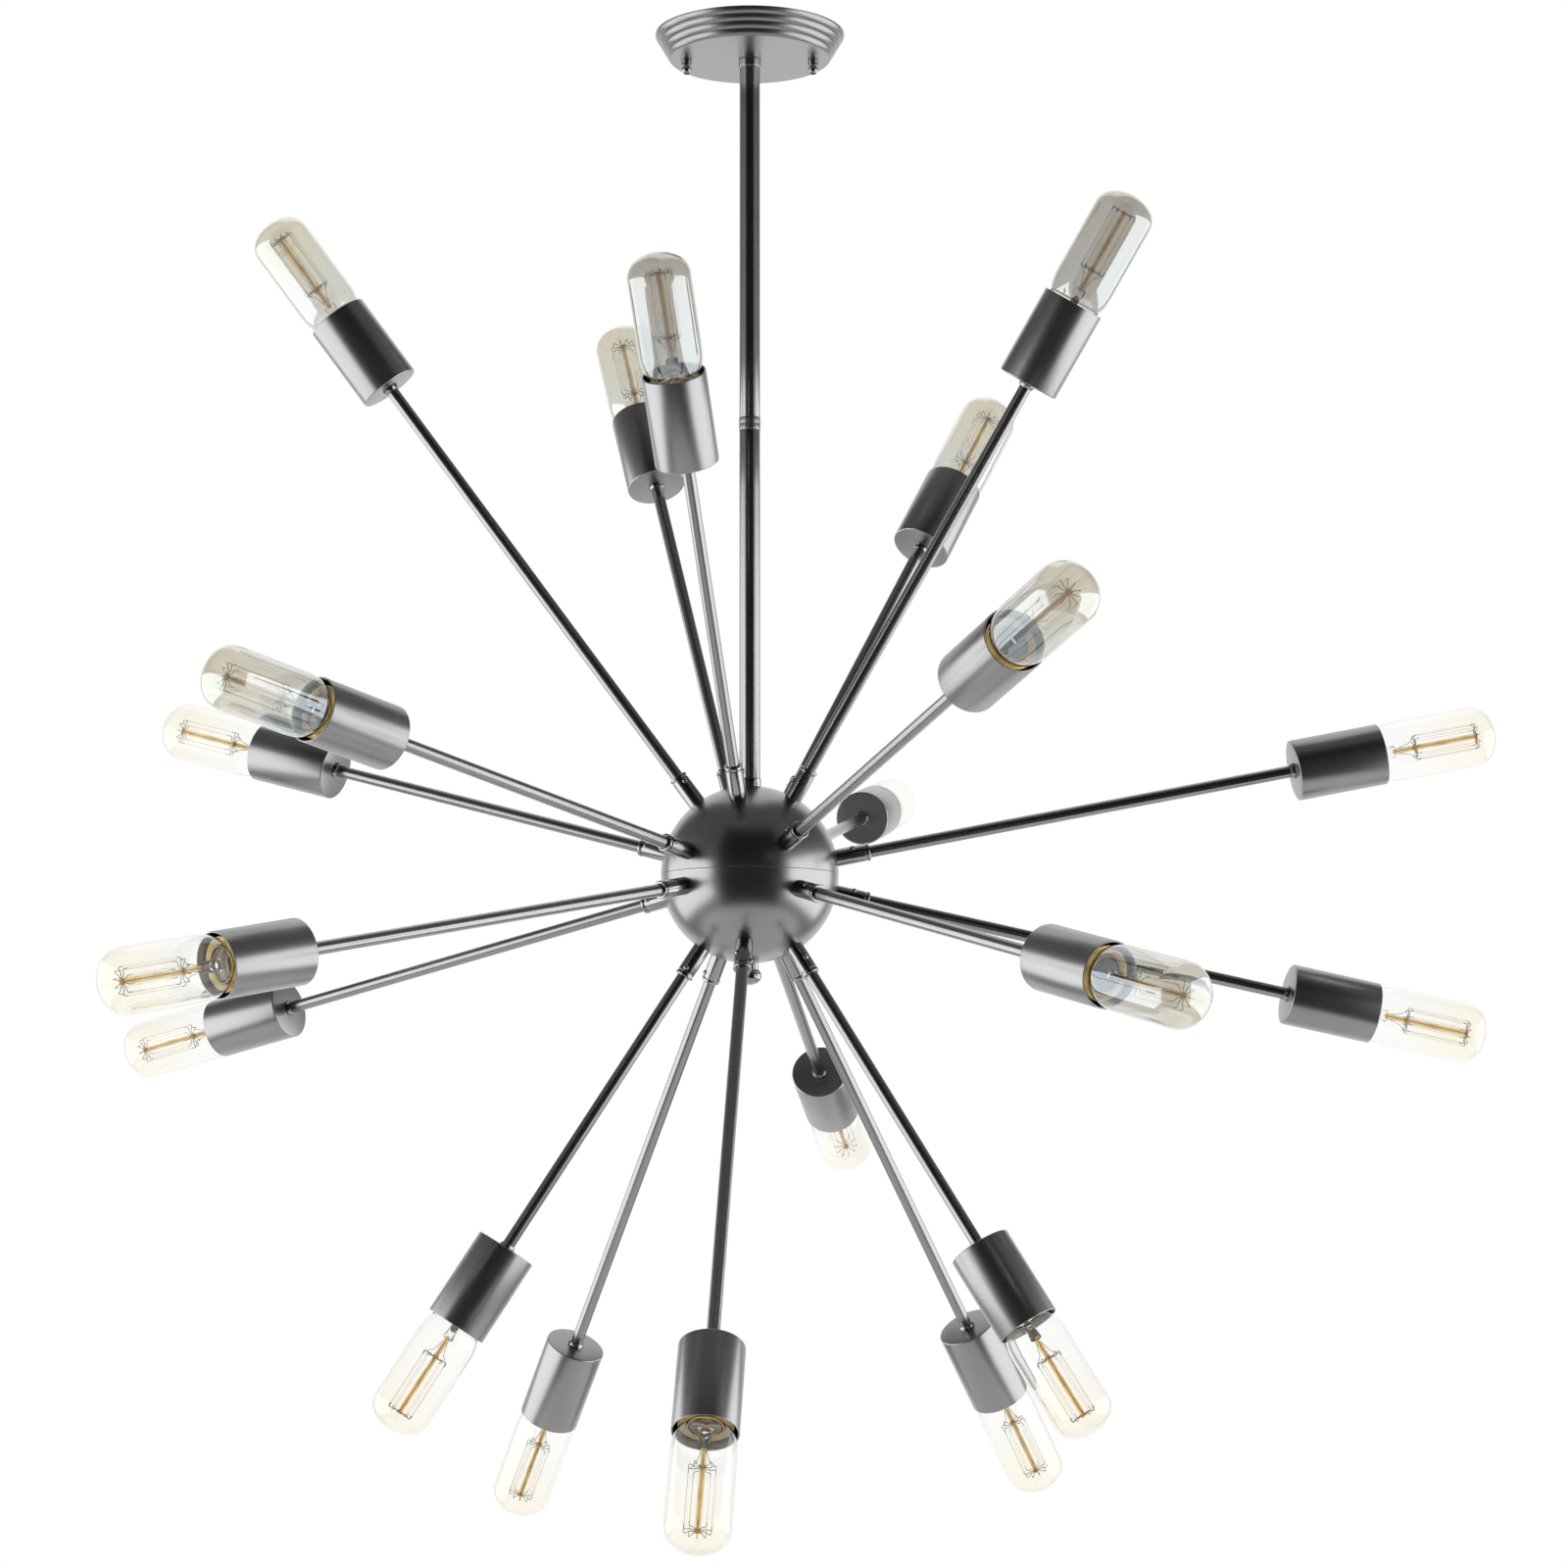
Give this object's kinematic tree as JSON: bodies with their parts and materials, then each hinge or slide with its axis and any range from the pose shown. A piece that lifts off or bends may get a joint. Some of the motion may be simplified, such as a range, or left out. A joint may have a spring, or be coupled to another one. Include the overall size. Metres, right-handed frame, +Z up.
{
  "type": "radial chandelier",
  "caption": "Radial sputnik chandelier: ribbed ceiling canopy, straight stem, spherical hub and straight arms of unequal length, each ending in a cylindrical cup with a tubular lamp.",
  "frame": {"origin": "centre of the mounting bar's ceiling face, between the two outlet-box slots", "axes": "+Z up to the ceiling, the fitting hangs below; +X runs along the mounting bar, and the pictured side faces -Y"},
  "size_m": [1.0931, 1.064, 1.1634],
  "materials": {
    "satin_gunmetal": "satin brushed",
    "polished_gunmetal": "polished",
    "zinc_steel": "zinc plated",
    "brass": "plain",
    "lampholder_black": "moulded",
    "clear_glass": "clear"
  },
  "bodies": {
    "fixture": {"mounting_bar": "zinc_steel", "canopy": "satin_gunmetal", "canopy_studs": "zinc_steel", "top_nipple": "zinc_steel", "nipple_nuts": "zinc_steel", "stem_collar": "polished_gunmetal", "stem_upper": "satin_gunmetal", "stem_coupler": "satin_gunmetal", "stem_lower": "satin_gunmetal", "stem_foot": "polished_gunmetal", "hub_upper": "satin_gunmetal", "hub_lower": "satin_gunmetal", "hub_rod": "zinc_steel", "hub_nut": "zinc_steel", "collar_nuts": "zinc_steel", "set_screws": "polished_gunmetal", "cup_ferrules": "polished_gunmetal", "cup_nuts": "zinc_steel", "screw_sleeves": "brass", "contact_leaves": "brass", "collars_upper": "polished_gunmetal", "tubes_upper": "satin_gunmetal", "cups_upper": "satin_gunmetal", "lampholders_upper": "lampholder_black", "collars_upper_mid": "polished_gunmetal", "tubes_upper_mid": "satin_gunmetal", "cups_upper_mid": "satin_gunmetal", "lampholders_upper_mid": "lampholder_black", "collars_lower_mid": "polished_gunmetal", "tubes_lower_mid": "satin_gunmetal", "cups_lower_mid": "satin_gunmetal", "lampholders_lower_mid": "lampholder_black", "collars_lower": "polished_gunmetal", "tubes_lower": "satin_gunmetal", "cups_lower": "satin_gunmetal", "lampholders_lower": "lampholder_black"},
    "left_ball_nut": {"ball_nut_left": "polished_gunmetal"},
    "right_ball_nut": {"ball_nut_right": "polished_gunmetal"},
    "finial": {"hub_finial": "polished_gunmetal"},
    "lamp_01": {"bulb_01": "clear_glass"},
    "lamp_02": {"bulb_02": "clear_glass"},
    "lamp_03": {"bulb_03": "clear_glass"},
    "lamp_04": {"bulb_04": "clear_glass"},
    "lamp_05": {"bulb_05": "clear_glass"},
    "lamp_06": {"bulb_06": "clear_glass"},
    "lamp_07": {"bulb_07": "clear_glass"},
    "lamp_08": {"bulb_08": "clear_glass"},
    "lamp_09": {"bulb_09": "clear_glass"},
    "lamp_10": {"bulb_10": "clear_glass"},
    "lamp_11": {"bulb_11": "clear_glass"},
    "lamp_12": {"bulb_12": "clear_glass"},
    "lamp_13": {"bulb_13": "clear_glass"},
    "lamp_14": {"bulb_14": "clear_glass"},
    "lamp_15": {"bulb_15": "clear_glass"},
    "lamp_16": {"bulb_16": "clear_glass"},
    "lamp_17": {"bulb_17": "clear_glass"},
    "lamp_18": {"bulb_18": "clear_glass"},
    "lamp_19": {"bulb_19": "clear_glass"},
    "lamp_20": {"bulb_20": "clear_glass"}
  },
  "joints": [
    {"name": "left_ball_nut_turn", "type": "hinge", "parent": "fixture", "child": "left_ball_nut", "pos_m": [-0.0495, 0, -0.0225], "axis": [0, 0, 1], "continuous": true},
    {"name": "right_ball_nut_turn", "type": "hinge", "parent": "fixture", "child": "right_ball_nut", "pos_m": [0.0495, 0, -0.0225], "axis": [0, 0, 1], "continuous": true},
    {"name": "finial_turn", "type": "hinge", "parent": "fixture", "child": "finial", "pos_m": [0, 0, -0.7373], "axis": [0, 0, 1], "continuous": true},
    {"name": "lamp_01_draw", "type": "slide", "parent": "fixture", "child": "lamp_01", "axis": [-0.5943, -0.0259, 0.8039], "range_m": [0, 0.032]},
    {"name": "lamp_02_draw", "type": "slide", "parent": "fixture", "child": "lamp_02", "axis": [-0.1345, -0.5202, 0.8434], "range_m": [0, 0.032]},
    {"name": "lamp_03_draw", "type": "slide", "parent": "fixture", "child": "lamp_03", "axis": [-0.206, 0.3958, 0.8949], "range_m": [0, 0.032]},
    {"name": "lamp_04_draw", "type": "slide", "parent": "fixture", "child": "lamp_04", "axis": [0.4853, -0.2473, 0.8387], "range_m": [0, 0.032]},
    {"name": "lamp_05_draw", "type": "slide", "parent": "fixture", "child": "lamp_05", "axis": [0.4091, 0.402, 0.8192], "range_m": [0, 0.032]},
    {"name": "lamp_06_draw", "type": "slide", "parent": "fixture", "child": "lamp_06", "axis": [0.4052, -0.869, 0.284], "range_m": [0, 0.032]},
    {"name": "lamp_07_draw", "type": "slide", "parent": "fixture", "child": "lamp_07", "axis": [-0.6868, -0.6989, 0.1994], "range_m": [0, 0.032]},
    {"name": "lamp_08_draw", "type": "slide", "parent": "fixture", "child": "lamp_08", "axis": [-0.9018, 0.3462, 0.2588], "range_m": [0, 0.032]},
    {"name": "lamp_09_draw", "type": "slide", "parent": "fixture", "child": "lamp_09", "axis": [0.981, 0.0343, 0.1908], "range_m": [0, 0.032]},
    {"name": "lamp_10_draw", "type": "slide", "parent": "fixture", "child": "lamp_10", "axis": [0.2125, 0.9584, 0.1908], "range_m": [0, 0.032]},
    {"name": "lamp_11_draw", "type": "slide", "parent": "fixture", "child": "lamp_11", "axis": [-0.7249, -0.6643, -0.1822], "range_m": [0, 0.032]},
    {"name": "lamp_12_draw", "type": "slide", "parent": "fixture", "child": "lamp_12", "axis": [-0.8737, 0.4356, -0.2164], "range_m": [0, 0.032]},
    {"name": "lamp_13_draw", "type": "slide", "parent": "fixture", "child": "lamp_13", "axis": [0.5519, -0.803, -0.225], "range_m": [0, 0.032]},
    {"name": "lamp_14_draw", "type": "slide", "parent": "fixture", "child": "lamp_14", "axis": [0.9728, 0.1022, -0.2079], "range_m": [0, 0.032]},
    {"name": "lamp_15_draw", "type": "slide", "parent": "fixture", "child": "lamp_15", "axis": [0.1736, 0.8932, -0.4147], "range_m": [0, 0.032]},
    {"name": "lamp_16_draw", "type": "slide", "parent": "fixture", "child": "lamp_16", "axis": [-0.5411, -0.0617, -0.8387], "range_m": [0, 0.032]},
    {"name": "lamp_17_draw", "type": "slide", "parent": "fixture", "child": "lamp_17", "axis": [-0.3263, 0.4176, -0.848], "range_m": [0, 0.032]},
    {"name": "lamp_18_draw", "type": "slide", "parent": "fixture", "child": "lamp_18", "axis": [-0.0607, -0.5775, -0.8141], "range_m": [0, 0.032]},
    {"name": "lamp_19_draw", "type": "slide", "parent": "fixture", "child": "lamp_19", "axis": [0.5002, -0.2333, -0.8339], "range_m": [0, 0.032]},
    {"name": "lamp_20_draw", "type": "slide", "parent": "fixture", "child": "lamp_20", "axis": [0.407, 0.4142, -0.8141], "range_m": [0, 0.032]}
  ]
}
